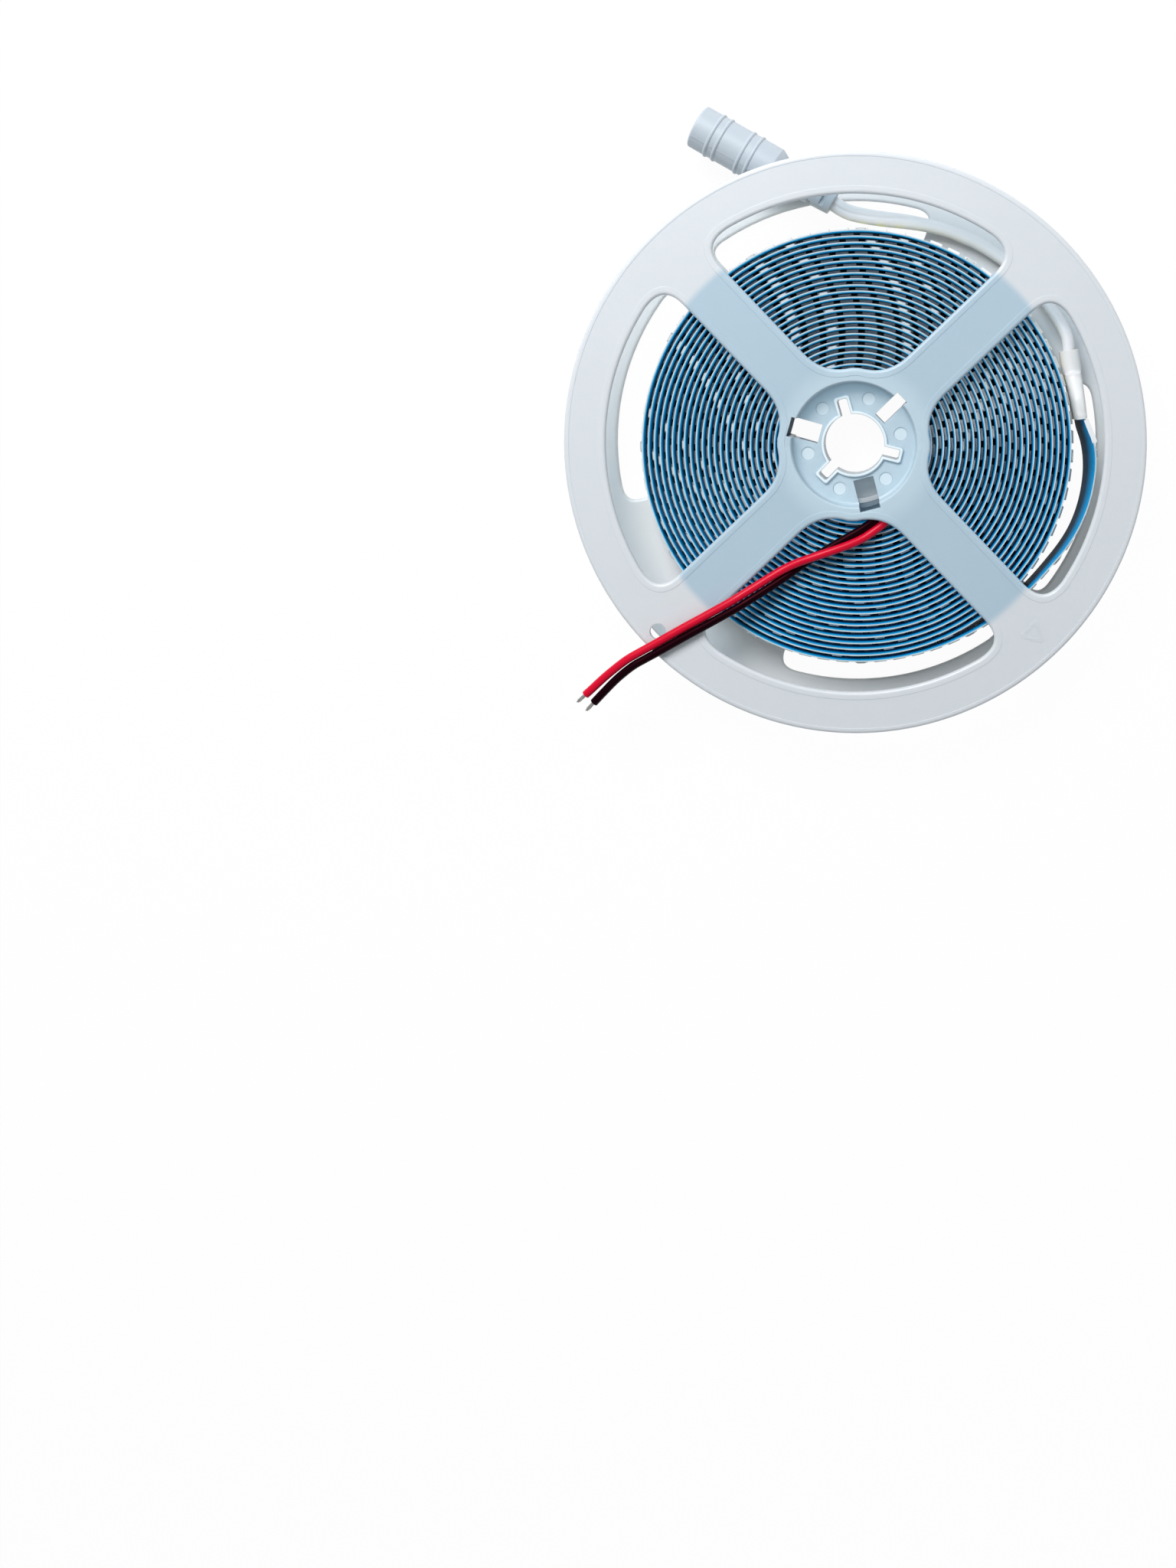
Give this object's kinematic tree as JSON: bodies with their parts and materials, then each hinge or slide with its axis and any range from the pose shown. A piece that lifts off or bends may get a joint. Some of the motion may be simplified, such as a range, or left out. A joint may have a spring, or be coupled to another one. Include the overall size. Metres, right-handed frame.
{
  "type": "led strip light reel",
  "caption": "Flanged plastic reel with windowed spokes and a keyed hub, wound with LED strip light that ends in a cable with a round power socket and in bare red and black leads.",
  "frame": {"origin": "centre of the rear flange's outer face, where the reel rests when it lies flat; the cables and what is on them are left out of this measure", "axes": "+Z along the hub's axis, from the rear flange to the front one; +X to the right and +Y up as the picture shows the front flange"},
  "size_m": [0.126, 0.1367, 0.0176],
  "materials": {
    "shell": "satin",
    "strip": "satin",
    "sleeve": "satin",
    "cable": "satin",
    "socket_grip": "satin",
    "socket_liner": "gloss",
    "contact_metal": "polished",
    "red_vinyl": "gloss",
    "black_vinyl": "gloss",
    "tinned_strands": "satin"
  },
  "bodies": {
    "root": {"front_flange": "shell", "rear_flange": "shell", "led_strip_roll": "strip", "strip_end_sleeve": "sleeve", "dc_cable": "cable", "dc_socket_housing": "socket_grip", "dc_socket_liner": "socket_liner", "dc_socket_pin": "contact_metal", "dc_socket_contact": "contact_metal", "red_lead": "red_vinyl", "black_lead": "black_vinyl", "red_lead_tip": "tinned_strands", "black_lead_tip": "tinned_strands"}
  },
  "joints": []
}
